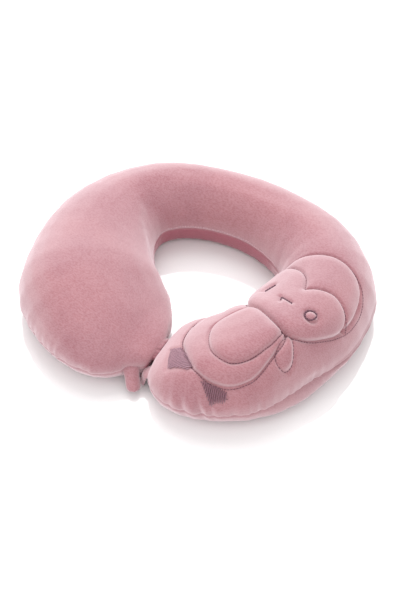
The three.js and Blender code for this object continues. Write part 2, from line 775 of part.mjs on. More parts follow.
const outerCord = { stand: 1.2, radius: 0.7 };
const neckCord = { stand: 1.3, radius: 0.45 };
const lastRow = (arm) => arm.length - 2;
const { right, left } = arms;
const besideZip = 8; // the seam's cord stops this far from the zip
add('seam_cord_back_right', seamCord(right, true, 0, ZIP_FROM - besideZip, outerCord), COLOURS.seam);
const frontSeam = seamCord(right, true, ZIP_TO + besideZip, lastRow(right), outerCord);
add('seam_cord_front_right', frontSeam, COLOURS.seam);
add('seam_cord_left', seamCord(left, true, 0, lastRow(left), outerCord), COLOURS.seam);
for (const [name, arm] of Object.entries(arms)) {
  add(`neck_stitch_${name}`, seamCord(arm, false, 0, lastRow(arm), neckCord), COLOURS.thread);
}

add('wadding_head', wadding(HEAD), COLOURS.wadding);
add('wadding_body', cutBy(wadding(BODY), clearance(HEAD), clearance(BELLY)), COLOURS.wadding);
add('wadding_belly', cutBy(wadding(BELLY), clearance(HEAD)), COLOURS.wadding);

const aroundHead = grown(HEAD, 2);
add('stitch_head', stitched(ellipse(HEAD, 32)), COLOURS.thread);
const faceInHead = faceOutline().filter((point) => !outside(grown(HEAD, -2), point));
add('stitch_face', stitched(faceInHead, false), COLOURS.thread);
add('stitch_body', stitched(clippedBy(aroundHead, ellipse(BODY, 36)), false), COLOURS.thread);
add('stitch_belly', stitched(clippedBy(aroundHead, ellipse(BELLY, 28)), false), COLOURS.thread);
add('stitch_flipper', stitched(leaf(FLIPPER_ROOT, FLIPPER_TIP, FLIPPER_WIDTH, 16)), COLOURS.thread);
add('eye_right', stitched(ellipse(EYE_RIGHT, 12)), COLOURS.thread);
add('eye_left', stitched(ellipse(EYE_LEFT, 12)), COLOURS.thread);
add('beak', pad(BEAK, -SATIN_LIFT, -SATIN_LIFT - SATIN_THICKNESS), COLOURS.thread);
add('foot_left', pad(FOOT_LEFT, -SATIN_LIFT, -SATIN_LIFT - SATIN_THICKNESS), COLOURS.satinLight);
add('foot_right', pad(FOOT_RIGHT, -SATIN_LIFT, -SATIN_LIFT - SATIN_THICKNESS), COLOURS.satinDark);

add('zip_tape_upper', zipTape(1), COLOURS.tape);
add('zip_tape_lower', zipTape(-1), COLOURS.tape);
add('zip_teeth_upper', zipTeeth(1), COLOURS.teeth, 0.5);
add('zip_teeth_lower', zipTeeth(-1), COLOURS.teeth, 0.5);
add('zip_stop_top', zipStop(0), COLOURS.metal, 0.4, 0.8);
add('zip_stop_bottom', zipStop(zipLength - STOP_LENGTH), COLOURS.metal, 0.4, 0.8);
add('zip_slider', zipSlider(), COLOURS.metal, 0.35, 0.85);
add('zip_pull', zipPull(), COLOURS.metal, 0.35, 0.85);

for (const [name, tab] of Object.entries(TABS)) {
  const hinged = tabGroup(tab);
  const at = tab.length - TAB_WIDTH / 2;
  pillow.add(hinged);
  add(`strap_${name}`, strap(tab.length), COLOURS.tape, 0.9, 0, hinged);
  if (name === 'left') add('stud_socket', studSocket(at), COLOURS.stud, 0.4, 0, hinged);
  else add('stud_knob', studKnob(at), COLOURS.stud, 0.4, 0, hinged);
}

// The origin is the bottom centre of the whole pillow.
pillow.updateMatrixWorld(true);
const bounds = new THREE.Box3().setFromObject(pillow, true);
const middle = bounds.getCenter(new THREE.Vector3());
pillow.position.set(-middle.x, -middle.y, -bounds.min.z);

export default pillow;
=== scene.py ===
"""A child's u shaped neck pillow in pink velour, with a quilted penguin on one arm, lying on a pale floor.

Metres, +Z up, in the frame of the CAD part. The skin is wrapped round the CAD covers, inflated as cloth
and then quilted: the height of every point comes from its plan distance to the stitched outlines. Threads
and satin feet are laid on the finished skin, and the tabs are sewn into its seam.
"""

import json
import math

import bmesh
import bpy
import numpy as np
from mathutils import Matrix, Vector, noise
from mathutils.bvhtree import BVHTree


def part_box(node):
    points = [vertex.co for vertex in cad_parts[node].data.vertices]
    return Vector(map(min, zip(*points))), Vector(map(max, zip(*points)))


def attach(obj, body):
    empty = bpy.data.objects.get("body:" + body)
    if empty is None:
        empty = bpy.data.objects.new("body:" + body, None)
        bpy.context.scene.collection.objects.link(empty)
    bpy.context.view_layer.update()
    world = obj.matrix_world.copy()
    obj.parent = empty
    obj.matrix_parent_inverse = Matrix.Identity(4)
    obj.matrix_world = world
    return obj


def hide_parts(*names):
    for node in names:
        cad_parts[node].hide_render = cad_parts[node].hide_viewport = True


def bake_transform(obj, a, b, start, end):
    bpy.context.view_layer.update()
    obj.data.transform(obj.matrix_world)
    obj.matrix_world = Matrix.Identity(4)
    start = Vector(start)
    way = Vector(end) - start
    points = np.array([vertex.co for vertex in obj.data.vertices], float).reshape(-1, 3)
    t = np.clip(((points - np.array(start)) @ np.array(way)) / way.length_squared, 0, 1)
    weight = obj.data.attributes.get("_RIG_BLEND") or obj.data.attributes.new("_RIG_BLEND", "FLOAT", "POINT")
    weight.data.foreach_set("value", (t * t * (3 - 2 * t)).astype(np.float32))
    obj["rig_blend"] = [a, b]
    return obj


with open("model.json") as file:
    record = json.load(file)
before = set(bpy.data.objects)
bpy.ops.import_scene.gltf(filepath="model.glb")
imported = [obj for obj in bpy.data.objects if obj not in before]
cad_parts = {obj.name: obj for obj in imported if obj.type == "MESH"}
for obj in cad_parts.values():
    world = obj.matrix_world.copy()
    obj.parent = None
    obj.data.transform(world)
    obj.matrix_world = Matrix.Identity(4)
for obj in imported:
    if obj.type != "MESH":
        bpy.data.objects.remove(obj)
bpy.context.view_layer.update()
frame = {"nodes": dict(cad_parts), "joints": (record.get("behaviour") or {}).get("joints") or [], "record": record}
NODES = frame["nodes"]
MM = 0.001

# ---------------------------------------------------------------- driving dimensions
# A pair called ..._FADE gives where a change starts and where it is complete, as fade() takes them.
VOXEL = 3.6 * MM
SHRINK = 2.0 * MM  # the cover starts this much inside the CAD cover and is blown up again
SETTLE_REACH = 3.5 * MM  # how far the skin may move to meet the CAD cover
CLOTH_CAP = 1.0 * MM  # the most that the cloth may swell unevenly
CLOTH_FRAMES = 20
PLUMP = 0.4 * MM  # the pile stands out this much from the CAD cover
COVER_LEAST = 0.4 * MM  # between the outside of the plush and what it covers
COVER_REACH = 6 * MM  # filling farther than this from a point is not looked for

# The seam between the panels, and the zip in it
SEAM_Z = {"outer": 13.8 * MM, "inner": 15.6 * MM}
SEAM_CUTS = 14  # extra rings of vertices at the seam's height, so that its groove is crisp
SEAM_BAND = 3.6 * MM
SEAM_DEPTH = 1.0 * MM
SEAM_WIDTH = 0.9 * MM
NECK_REACH = 9 * MM  # skin this near to the stitches round the neck has the inner seam
PUCKER_FROM = -55 * MM  # the seam puckers more in front of this y
PUCKER_FRONT = 1.3 * MM
PUCKER_BACK = 0.9 * MM
PUCKER_UP = 9 * MM  # the puckers die out over this height above the seam, and over the next below it
PUCKER_DOWN = 5 * MM
PUCKER_RATE = 26
WELT_DEPTH = 2.6 * MM  # the slot between the two lips that hide the zip
WELT_LIP = 0.7 * MM
WELT_HALF = 2.4 * MM
WELT_WIDTH = 1.1 * MM
ZIP_FADE = (16 * MM, 10 * MM)  # distance from the zip's tape

# The quilting
LINE_DEPTH = 1.8 * MM  # right at a stitched line
LINE_WIDTH = 1.1 * MM
VALLEY_DEPTH = 0.8 * MM  # the wider dip beside it
VALLEY_WIDTH = 4.5 * MM
QUILT_Z = 20 * MM  # only skin above this height is quilted
QUILT_LEFT = 12 * MM  # and only from this far to the left of the penguin's left foot
QUILT_FADE = (0.02, 0.32)  # how much the skin faces up

# Threads
THREAD_RADIUS = 0.24 * MM
EYE_RADIUS = {"right": 0.7 * MM, "left": 0.65 * MM}
BEAK_RADIUS = 0.55 * MM
STRAND_SIDES = 6
STITCH_LENGTH = 1.9 * MM
STITCH_PITCH = 2.1 * MM
# An arc gives the height of a stitch, in radii of its thread, at shares of its length.
STITCH_ARC = ((0, -0.5), (0.25, 0.5), (0.5, 0.8), (0.75, 0.5), (1, -0.5))
TOPSTITCH_UP = 2.4 * MM  # above the seam round the neck
TOPSTITCH_RADIUS = 0.4 * MM
TOPSTITCH_SHARE = 0.75  # of its pitch that a topstitch takes up
TOPSTITCH_ARC = ((0, -0.4), (0.5, 0.7), (1, -0.4))
SATIN_RADIUS = {"left": 0.6 * MM, "right": 0.55 * MM}
SATIN_TURN = {"left": 35, "right": -78}  # degrees from +X
SATIN_SPACE = 0.3 * MM  # plush between two satin threads
SATIN_STEP = 1.2 * MM
SATIN_RISE = 1.1  # radii above the plush, and below it at the ends of a thread
SATIN_SINK = 0.3

# Each tab is a doubled strip that hangs a little aside from the CAD strap and runs on into the seam.
TAB_HALF = 2.1 * MM  # half thickness
TAB_CUP = 2.4 * MM  # its long edges curl down this much at the tip
TAB_LIFT = 0.2 * MM
TAB_SWAY = {"left": np.array((-1.2, -2.4, 2.2)) * MM, "right": np.array((-1.2, -7.0, -0.8)) * MM}
TAB_INTO_SEAM = 0.3  # of its length
TAB_ROUND_FROM = 0.5  # the tip is rounded from this share of the length
TAB_WAIST = 0.14  # narrower by this share half way along
TAB_RIPPLE = 0.15  # thicker and thinner by this share
TAB_RINGS = 30
TAB_SIDES = 32
STUD_BEVEL = 0.12 * MM

# How the arms spread, and how the lobes lean on each other
BACK_REACH = 58 * MM  # half the length of the piece at the back that bends when the arms spread
HINGE = next(j for j in frame["joints"] if j["name"] == "arms_spread")
HINGE_X = HINGE["pos_m"][0]
GAP = (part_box("strap_left")[0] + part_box("strap_right")[1]) / 2  # between the two lobes
LOBE_CONTACT = 4.5 * MM  # where the lobes touch at the seam's height, beyond the middle of the gap
LOBE_LEAN = 0.6  # the contact goes this much farther for each unit of height
LOBE_REACH = 20 * MM  # skin within about this distance of the contact is pressed on it
LOBE_PRESSED = 0.97  # of the way there
LOBE_FRONT_FADE = (GAP.y + 62 * MM, GAP.y + 18 * MM)
LOBE_TAB_FADE = (GAP.y - 6 * MM, GAP.y + 4 * MM)
LOBE_BASE_FADE = (2 * MM, 7 * MM)

# Where the filling differs from the CAD: x, y, reach and how much fuller, or leaner where it is negative
FULLER = np.array(((-106, -70, 28, 3.0), (36, -106, 22, 1.2), (54, 98, 35, 2.4), (128, 25, 26, -2.5))) * MM
SWELLS = ((22, 0.7 * MM), (60, 0.18 * MM))  # how fast each swell changes, and its height
FLARE = np.array((112, -46, 32, 7.5)) * MM  # the base that spreads on the floor: x, y, reach, amount
FLARE_Z = 5 * MM

# Pulls in the plush at the front of the right lobe: distance from the right foot's left end, depth
CREASES = np.array(((3, 1.9), (10, 1.1), (-10, 1.1))) * MM
CREASE_Z = 18 * MM
CREASE_HALF_HEIGHT = 8 * MM
CREASE_WIDTH = 2.4 * MM
CREASE_SLANT = -0.28
CREASE_MIDDLE = 24 * MM  # the height at which a slanting pull is at its own distance
CREASE_FROM = 6 * MM  # behind the front of the right foot
RIDGE_OFF = 5 * MM  # from the middle of the pull to the ridge beside it
RIDGE_WIDTH = 2.6 * MM
RIDGE_SHARE = 0.5

# Where shade and light are painted on the pile
SHADE_NECK_FADE = (12 * MM, 8 * MM)  # distance from the stitches round the neck
SHADE_SEAM_FADE = (SEAM_Z["inner"], SEAM_Z["inner"] - 1.5 * MM)
SHADE_X_FADE = (46 * MM, 28 * MM)
SHADE_Y_FADE = (-10 * MM, 10 * MM)
SHADE_PRESSED_FADE = (0.75, 0.95)
FLOOR_LIGHT = 22 * MM  # the pile is paler below this height, where the floor lights it
FLOOR_SHARE = 0.45

PLUSH = (0.448, 0.238, 0.266)
PLUSH_WARM = (0.470, 0.232, 0.250)
PLUSH_DEEP = (0.340, 0.141, 0.162)
# painted shade, for the crevice between the lobes and the wall under the neck seam
PLUSH_PAINTED_SHADE = (0.400, 0.145, 0.180)
PLUSH_PAINTED_SHEEN = (0.780, 0.635, 0.668)  # painted sheen: the tips of the pile, seen from the side; also painted floor light near the floor
PLUSH_SHEEN = (0.95, 0.82, 0.85)
THREAD = (0.170, 0.060, 0.095)
SATIN_LIGHT = (0.470, 0.255, 0.318)
SATIN_DARK = (0.270, 0.105, 0.150)
PATCH_SCALE = 32  # of the slow patches in the velour
WARMTH_SCALE = 16
PILE_SCALE = 1200
PILE_STRETCH = (0.5, 1, 1)


# ---------------------------------------------------------------- plan outlines of the penguin
def middle(node):
    low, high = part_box(node)
    return (np.array(low) + np.array(high))[:2] / 2


HEAD_AT = middle("stitch_head")


def plan(*points):
    """Plan points given in millimetres from the middle of the head."""
    return HEAD_AT + np.array(points, float) * MM


def ellipse(at, radii, turn, count=40):
    """An ellipse round a plan point, with its first radius turned by `turn` degrees from +X."""
    u = np.linspace(0, 2 * np.pi, count, endpoint=False)
    c, s = math.cos(math.radians(turn)), math.sin(math.radians(turn))
    a, b = radii[0] * np.cos(u), radii[1] * np.sin(u)
    return plan(*zip(at[0] + a * c - b * s, at[1] + a * s + b * c))


def curve(*points, closed=False, count=14):
    """A smooth line through a few plan points (Catmull-Rom)."""
    knots = plan(*points)
    last = len(knots)
    at = (lambda i: knots[i % last]) if closed else (lambda i: knots[min(max(i, 0), last - 1)])
    line = []
    for i in range(last if closed else last - 1):
        a, b, c, d = (at(i + k) for k in (-1, 0, 1, 2))
        for t in np.arange(count) / count:
            line.append(b + 0.5 * t * (c - a + t * (2 * a - 5 * b + 4 * c - d + t * (3 * (b - c) + d - a))))
    return np.array(line if closed else line + [knots[-1]])


HEAD = curve((4, 39), (29, 30), (37, 5), (30.2, -22.4), (9, -44), (-22, -31), (-37, -22), (-42, 2), (-32, 27),
             closed=True)
BODY = curve((5, -43), (6, -62), (-1, -85), (-20, -97), (-42, -93), (-60, -75), (-65, -56), (-62, -37),
             (-46, -22), (-20, -24), closed=True)
BELLY = curve((-22, -28), (-38, -39), (-46, -57), (-36, -77), (-18, -82), (-4, -69), (2, -42), closed=True)
# The two cheeks meet above the beak; the face is what lies on their front side.
CHEEKS = np.vstack([curve((-40, 8), (-31, 20), (-18, 19), (-7, 11), (-1, -2)),
                    curve((-1, -2), (8, 3), (20, 5), (31, -1), (35, -11), (32, -23))])
FACE = np.vstack([CHEEKS, plan((60, -60), (-20, -90), (-80, -40), (-60, 6))])
FLIPPER = curve((7, -43), (5.5, -53), (6, -61), (10, -65), (15, -63.5), (17, -57), (14.5, -50), (10, -44),
                closed=True)
EYE_RIGHT = ellipse((13.7, -23.2), (4.3, 4.0), 38)
EYE_LEFT = curve((-27.6, -11.2), (-26.9, -6.8), (-23.4, -2.6), (-25.3, -6.9), closed=True)
BEAK = plan((-2.3, -20.0), (-12.6, -16.3), (-10.3, -21.4))
FOLD = curve((-62, -52), (-58, -38), (-46, -30), (-36, -27))  # a crease between the body and the head
FOOT_LEFT = plan((-67, -79), (-59, -77), (-56, -79), (-42, -92), (-45, -95.5), (-53.5, -95.5), (-59.5, -97),
                 (-64, -88))
FOOT_RIGHT = plan((-32, -99), (-30.5, -97.3), (-12.5, -96), (-11.5, -98.5), (-13, -101), (-21, -105.5),
                  (-25, -104))


FAR = 1.0  # farther than any two points of the pillow


def segments(line, closed):
    """The starts and the ends of a line's segments."""
    ends = np.roll(line, -1, axis=0)
    return (line, ends) if closed else (line[:-1], ends[:-1])


def distance(points, line, closed=True):
    """Plan distance from each point to a line of short segments, up to FAR."""
    best = np.full(len(points), FAR)
    for a, b in zip(*segments(line, closed)):
        along = b - a
        t = np.clip(((points - a) @ along) / max(along @ along, 1e-12), 0, 1)
        best = np.minimum(best, np.linalg.norm(points - a - np.outer(t, along), axis=1))
    return best


def inside(points, outline):
    """Which plan points an outline surrounds."""
    crossings = np.zeros(len(points), int)
    for a, b in zip(*segments(outline, True)):
        spans = (a[1] > points[:, 1]) != (b[1] > points[:, 1])
        rise = b[1] - a[1] if abs(b[1] - a[1]) > 1e-12 else 1e-12
        crossings += spans & (points[:, 0] < a[0] + (points[:, 1] - a[1]) * (b[0] - a[0]) / rise)
    return crossings % 2 == 1


def outside_only(line, cover, closed=True):
    """The run of a line that is not under another outline, in order."""
    keep = ~inside(line, cover)
    if closed:
        first = int(np.argmax(keep & ~np.roll(keep, 1)))
        line, keep = np.roll(line, -first, axis=0), np.roll(keep, -first)
    return line[keep]


BODY_LINE = outside_only(BODY, HEAD)
BELLY_LINE = outside_only(BELLY, HEAD)
CHEEK_LINE = CHEEKS[inside(CHEEKS, HEAD)]
FLIPPER_LINE = outside_only(FLIPPER, HEAD)


# ---------------------------------------------------------------- the skin
def fade(value, start, end):
    """0 until `value` gets to `start`, then evenly to 1 at `end`, which may be on either side of it."""
    return np.clip((value - start) / (end - start), 0, 1)


def rounded_step(d, reach):
    """0 at a stitched line, rising like a quarter circle to 1 at `reach` from it."""
    return np.sqrt(np.clip(1 - (1 - np.clip(d / reach, 0, 1)) ** 2, 0, 1))


def dip(d, width):
    """1 where d is 0, dying away on both sides."""
    return np.exp(-((d / width) ** 2))


def quilting(points):
    """How far each plan point of the right arm's top stands out, with the head lying over the body."""
    in_head, in_body, in_belly = inside(points, HEAD), inside(points, BODY), inside(points, BELLY)
    in_face = in_head & inside(points, FACE)
    in_flipper = inside(points, FLIPPER) & ~in_head
    in_body &= ~in_head
    in_belly &= ~in_head
    to_head = distance(points, HEAD)
    to_body = distance(points, BODY_LINE, False)
    to_belly = distance(points, BELLY_LINE, False)
    to_cheeks = distance(points, CHEEK_LINE, False)
    to_flipper = distance(points, FLIPPER_LINE, False)
    to_eye = distance(points, EYE_RIGHT)
    hidden = np.where(in_head, FAR, 0)  # no line of the body shows through the head
    pads = (
        (in_head, to_head, 2.0, 9),
        (in_face, np.minimum(to_cheeks, to_head), 1.6, 8),
        (in_body, np.minimum(to_body, to_head), 1.6, 8),
        (in_belly, np.minimum(to_belly, to_head), 1.9, 9),
        (in_flipper, to_flipper, 1.0, 4),
        (inside(points, EYE_RIGHT), to_eye, 0.8, 3),
    )
    dents = [
        (np.maximum(to_flipper, hidden), 1.0, LINE_WIDTH / MM),
        (to_eye, 1.4, 1.6),
        (distance(points, EYE_LEFT, False), 1.5, 2.0),
        (distance(points, BEAK, False), 1.5, 1.5),
        (distance(points, FOLD, False), 0.9, 2.2),
    ]
    for foot in (FOOT_LEFT, FOOT_RIGHT):
        dents.append((np.where(inside(points, foot), 0, distance(points, foot)), 0.7, 2.0))

    height = np.zeros(len(points))
    for covered, to_edge, rise_mm, reach_mm in pads:
        height += np.where(covered, rise_mm * MM * rounded_step(to_edge, reach_mm * MM), 0)
    for d in (to_head, np.maximum(to_body, hidden), np.maximum(to_belly, hidden), to_cheeks):
        height -= LINE_DEPTH * dip(d, LINE_WIDTH) + VALLEY_DEPTH * dip(d, VALLEY_WIDTH)
    for d, depth_mm, width_mm in dents:
        height -= depth_mm * MM * dip(d, width_mm * MM)
    return height


def from_mesh(mesh, name):
    piece = bpy.data.objects.new(name, mesh)
    bpy.context.scene.collection.objects.link(piece)
    return piece


def remove(piece):
    mesh = piece.data
    bpy.data.objects.remove(piece)
    bpy.data.meshes.remove(mesh)


def evaluated(piece):
    """The piece's mesh with its modifiers applied, in place."""
    bpy.context.view_layer.update()
    mesh = bpy.data.meshes.new_from_object(piece.evaluated_get(bpy.context.evaluated_depsgraph_get()))
    piece.modifiers.clear()
    piece.data = mesh
    return piece


def keep_largest(mesh):
    """Drops every shell but the outer one."""
    bm = bmesh.new()
    bm.from_mesh(mesh)
    bm.faces.ensure_lookup_table()
    unseen, shells = set(bm.faces), []
    while unseen:
        shell, front = set(), [unseen.pop()]
        while front:
            face = front.pop()
            shell.add(face)
            for edge in face.edges:
                for other in edge.link_faces:
                    if other in unseen:
                        unseen.discard(other)
                        front.append(other)
        shells.append(shell)
    largest = max(shells, key=lambda shell: sum(face.calc_area() for face in shell))
    bmesh.ops.delete(bm, geom=[f for f in bm.faces if f not in largest], context="FACES")
    bm.to_mesh(mesh)
    bm.free()


def coordinates(mesh):
    co = np.empty(len(mesh.vertices) * 3)
    mesh.vertices.foreach_get("co", co)
    return co.reshape(-1, 3)


def set_coordinates(mesh, co):
    mesh.vertices.foreach_set("co", co.ravel())
    mesh.update()


def normals_of(mesh):
    normals = np.empty(len(mesh.vertices) * 3)
    mesh.vertices.foreach_get("normal", normals)
    return normals.reshape(-1, 3)


def wrapped_cover():
    """One closed skin round the CAD covers and their filling."""
    bm = bmesh.new()
    for name, node in NODES.items():
        if name.startswith(("cover_", "foam_core_", "liner_")):
            bm.from_mesh(node.data)
    mesh = bpy.data.meshes.new("skin")
    bm.to_mesh(mesh)
    bm.free()
    skin = from_mesh(mesh, "skin")
    remesh = skin.modifiers.new("remesh", "REMESH")
    remesh.mode = "VOXEL"
    remesh.voxel_size = VOXEL
    evaluated(skin)
    keep_largest(skin.data)
    smooth = skin.modifiers.new("smooth", "SMOOTH")
    smooth.factor = 0.5
    smooth.iterations = 6
    return evaluated(skin)


def settled_on_covers(skin):
    """Brings the skin, which the remesh and the smoothing have shrunk, back out to the CAD covers."""
    bm = bmesh.new()
    for name, node in NODES.items():
        if name.startswith("cover_"):
            bm.from_mesh(node.data)
    covers = BVHTree.FromBMesh(bm)
    bm.free()
    for _ in range(2):
        co, normals = coordinates(skin.data), normals_of(skin.data)
        for i, (spot, normal) in enumerate(zip(co, normals)):
            start = Vector(spot + normal * SETTLE_REACH)
            point, facing, _, far = covers.ray_cast(start, -Vector(normal), 2 * SETTLE_REACH)
            if point is not None and facing.dot(Vector(normal)) > 0.3:
                co[i] += normal * (SETTLE_REACH - far)
        set_coordinates(skin.data, co)
    smooth = skin.modifiers.new("smooth", "SMOOTH")
    smooth.factor = 0.5
    smooth.iterations = 1
    evaluated(skin)


def inflate(skin):
    """Blows the cover up as cloth; what is kept is how unevenly it swells, within CLOTH_CAP."""
    rest, normals = coordinates(skin.data), normals_of(skin.data)
    set_coordinates(skin.data, rest - normals * SHRINK)
    cloth = skin.modifiers.new("cloth", "CLOTH")
    cloth.settings.use_pressure = True
    cloth.settings.uniform_pressure_force = 4
    cloth.settings.quality = 6
    cloth.settings.effector_weights.gravity = 0
    cloth.point_cache.frame_start = 1
    cloth.point_cache.frame_end = CLOTH_FRAMES
    for number in range(1, CLOTH_FRAMES + 1):
        bpy.context.scene.frame_set(number)
    evaluated(skin)
    swell = ((coordinates(skin.data) - rest) * normals).sum(1)
    swell = CLOTH_CAP * np.tanh((swell - np.median(swell)) / CLOTH_CAP)
    set_coordinates(skin.data, rest + normals * swell[:, None])
    bpy.context.scene.frame_set(1)


def refined(skin):
    """Finer faces, with rings of vertices along the seam."""
    finer = skin.modifiers.new("subdivide", "SUBSURF")
    finer.levels = finer.render_levels = 2
    evaluated(skin)
    bm = bmesh.new()
    bm.from_mesh(skin.data)
    centre = (SEAM_Z["outer"] + SEAM_Z["inner"]) / 2
    for z in np.linspace(centre - SEAM_BAND, centre + SEAM_BAND, SEAM_CUTS):
        geometry = bm.verts[:] + bm.edges[:] + bm.faces[:]
        bmesh.ops.bisect_plane(bm, geom=geometry, plane_co=(0, 0, z), plane_no=(0, 0, 1), dist=1e-6)
    bmesh.ops.remove_doubles(bm, verts=bm.verts, dist=0.02 * MM)
    bm.to_mesh(skin.data)
    bm.free()


def points_of(*names):
    """The vertices of some CAD nodes."""
    return np.vstack([coordinates(NODES[name].data) for name in names])


def nearest(points, targets):
    """Plan distance from each point to the nearest target."""
    best = np.full(len(points), FAR)
    for target in targets:
        best = np.minimum(best, np.hypot(points[:, 0] - target[0], points[:, 1] - target[1]))
    return best


def from_zip(co):
    """Plan distance from each point to the zip's tape."""
    tape = points_of("zip_tape_upper")
    return nearest(co, tape[:: max(len(tape) // 60, 1)])


def from_neck(co):
    """Plan distance from each point to the stitches round the neck."""
    return nearest(co, points_of("neck_stitch_right", "neck_stitch_left")[::3])


def seam_relief(co, normals):
    """The groove of the seam between the panels, its puckers, and the two lips that hide the zip."""
    wall = np.clip(1 - np.abs(normals[:, 2]) * 1.1, 0, 1)
    inner = from_neck(co) < NECK_REACH
    off = co[:, 2] - np.where(inner, SEAM_Z["inner"], SEAM_Z["outer"])
    over_zip = fade(from_zip(co), *ZIP_FADE)
    bearing = np.arctan2(co[:, 1], co[:, 0])
    ripple = np.array([noise.noise(Vector((math.cos(b), math.sin(b), 0)) * PUCKER_RATE) for b in bearing])
    near_seam = np.where(off > 0, np.exp(-off / PUCKER_UP), np.exp(off / PUCKER_DOWN))
    relief = -SEAM_DEPTH * dip(off, SEAM_WIDTH) * (1 - over_zip)
    pucker = np.where(co[:, 1] < PUCKER_FROM, PUCKER_FRONT, PUCKER_BACK)
    relief += ripple * pucker * near_seam * (1 - over_zip) * ~inner
    lips = WELT_LIP * (dip(off - WELT_HALF, WELT_WIDTH) + dip(off + WELT_HALF, WELT_WIDTH))
    relief += over_zip * (lips - WELT_DEPTH * dip(off, WELT_WIDTH))
    return relief * wall


def pressed_together(co):
    """The x of each point once the side of the left lobe leans on the right one behind the tabs, and how much
    it is pressed."""
    x, y, z = co.T
    off = x - (GAP.x + LOBE_CONTACT + LOBE_LEAN * np.clip(z - SEAM_Z["outer"], 0, None))
    front = fade(y, *LOBE_FRONT_FADE)
    front = front * front * (3 - 2 * front)
    share = np.exp(-((off / LOBE_REACH) ** 4)) * front * fade(y, *LOBE_TAB_FADE) * fade(z, *LOBE_BASE_FADE)
    share *= x < GAP.x
    return x - LOBE_PRESSED * off * share, share


def creases(co):
    """Soft pulls in the plush at the front of the right lobe, each with a low ridge beside it."""
    low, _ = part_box("foot_right")
    x, y, z = co.T
    stretch = dip(z - CREASE_Z, CREASE_HALF_HEIGHT) * (y < low.y + CREASE_FROM)
    relief = np.zeros(len(co))
    for shift, depth in CREASES:
        beside = np.abs(x - low.x - shift - (z - CREASE_MIDDLE) * CREASE_SLANT)
        ridge = RIDGE_SHARE * dip(beside - RIDGE_OFF, RIDGE_WIDTH)
        relief += stretch * depth * (ridge - dip(beside, CREASE_WIDTH))
    return relief


def unevenness(co):
    """Slow swells where the filling is not quite even, and the places that are fuller or leaner."""
    relief = np.array([sum(noise.noise(Vector(p) * rate) * height for rate, height in SWELLS) for p in co])
    for x, y, reach, amount in FULLER:
        relief += amount * dip(np.hypot(co[:, 0] - x, co[:, 1] - y), reach)
    return relief


def base_flare(co, normals):
    """How far, in plan, the bottom panel of the right arm spreads on the floor beyond its seam."""
    x, y, reach, amount = FLARE
    height = np.clip(1 - ((co[:, 2] - FLARE_Z) / (SEAM_Z["outer"] - FLARE_Z)) ** 2, 0, 1)
    outward = normals[:, :2] / np.maximum(np.linalg.norm(normals[:, :2], axis=1, keepdims=True), 0.05)
    facing = np.clip(normals[:, :2] @ np.array((x, y)) / math.hypot(x, y) * 2, 0, 1)
    return outward * (amount * height * facing * dip(np.hypot(co[:, 0] - x, co[:, 1] - y), reach))[:, None]


def against_nap(co, pressed):
    """1 where painted shade darkens the pile: below the neck seam at the back, and in the crevice between the
    lobes."""
    x, y, z = co.T
    wall = fade(from_neck(co), *SHADE_NECK_FADE) * fade(z, *SHADE_SEAM_FADE) * fade(x, *SHADE_X_FADE)
    return np.maximum(wall * fade(y, *SHADE_Y_FADE), fade(pressed, *SHADE_PRESSED_FADE))


def by_floor(co, shade_share):
    """How much paler painted floor light makes the pile close to the floor."""
    return FLOOR_SHARE * fade(co[:, 2], FLOOR_LIGHT, 0) * (1 - shade_share)


def kept_outside(co, normals):
    """Lifts each point that has sunk into the filling back to just outside it."""
    co = co.copy()
    for name, node in NODES.items():
        if not name.startswith(("liner_", "wadding_")):
            continue
        low, high = (np.array(corner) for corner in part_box(name))
        close = np.flatnonzero(((co > low - COVER_LEAST) & (co < high + COVER_LEAST)).all(axis=1))
        faces = [p.vertices for p in node.data.polygons]
        tree = BVHTree.FromPolygons([v.co for v in node.data.vertices], faces)
        for i in close:
            point, _, _, _ = tree.find_nearest(Vector(co[i]), COVER_REACH)
            if point is None:
                continue
            clear = (co[i] - np.array(point)) @ normals[i]
            if clear < COVER_LEAST:
                co[i] += normals[i] * (COVER_LEAST - clear)
    return co


def save_attribute(skin, name, values):
    skin.data.attributes.new(name, "FLOAT", "POINT").data.foreach_set("value", values)


def shade_smooth(mesh):
    mesh.polygons.foreach_set("use_smooth", [True] * len(mesh.polygons))


def make_skin():
    """The whole cover as one mesh, with what the material and the split into pieces need to know of it."""
    skin = wrapped_cover()
    settled_on_covers(skin)
    inflate(skin)
    refined(skin)
    co, normals = coordinates(skin.data), normals_of(skin.data)
    relief = seam_relief(co, normals) + unevenness(co) + creases(co) + PLUMP
    top = (co[:, 2] > QUILT_Z) & (co[:, 0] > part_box("foot_left")[0].x - QUILT_LEFT)
    relief[top] += quilting(co[top, :2]) * fade(normals[top, 2], *QUILT_FADE)
    co += normals * relief[:, None]
    co[:, :2] += base_flare(co, normals)
    save_attribute(skin, "rest_x", co[:, 0].copy())
    co[:, 0], pressed = pressed_together(co)
    co = kept_outside(co, normals)
    co[:, 2] = np.maximum(co[:, 2], 0)
    set_coordinates(skin.data, co)
    shade_smooth(skin.data)
    # painted shade below the neck seam and in the crevice between the lobes
    shade_share = against_nap(co, pressed)
    save_attribute(skin, "against_nap", shade_share)
    save_attribute(skin, "by_floor", by_floor(co, shade_share))
    return skin


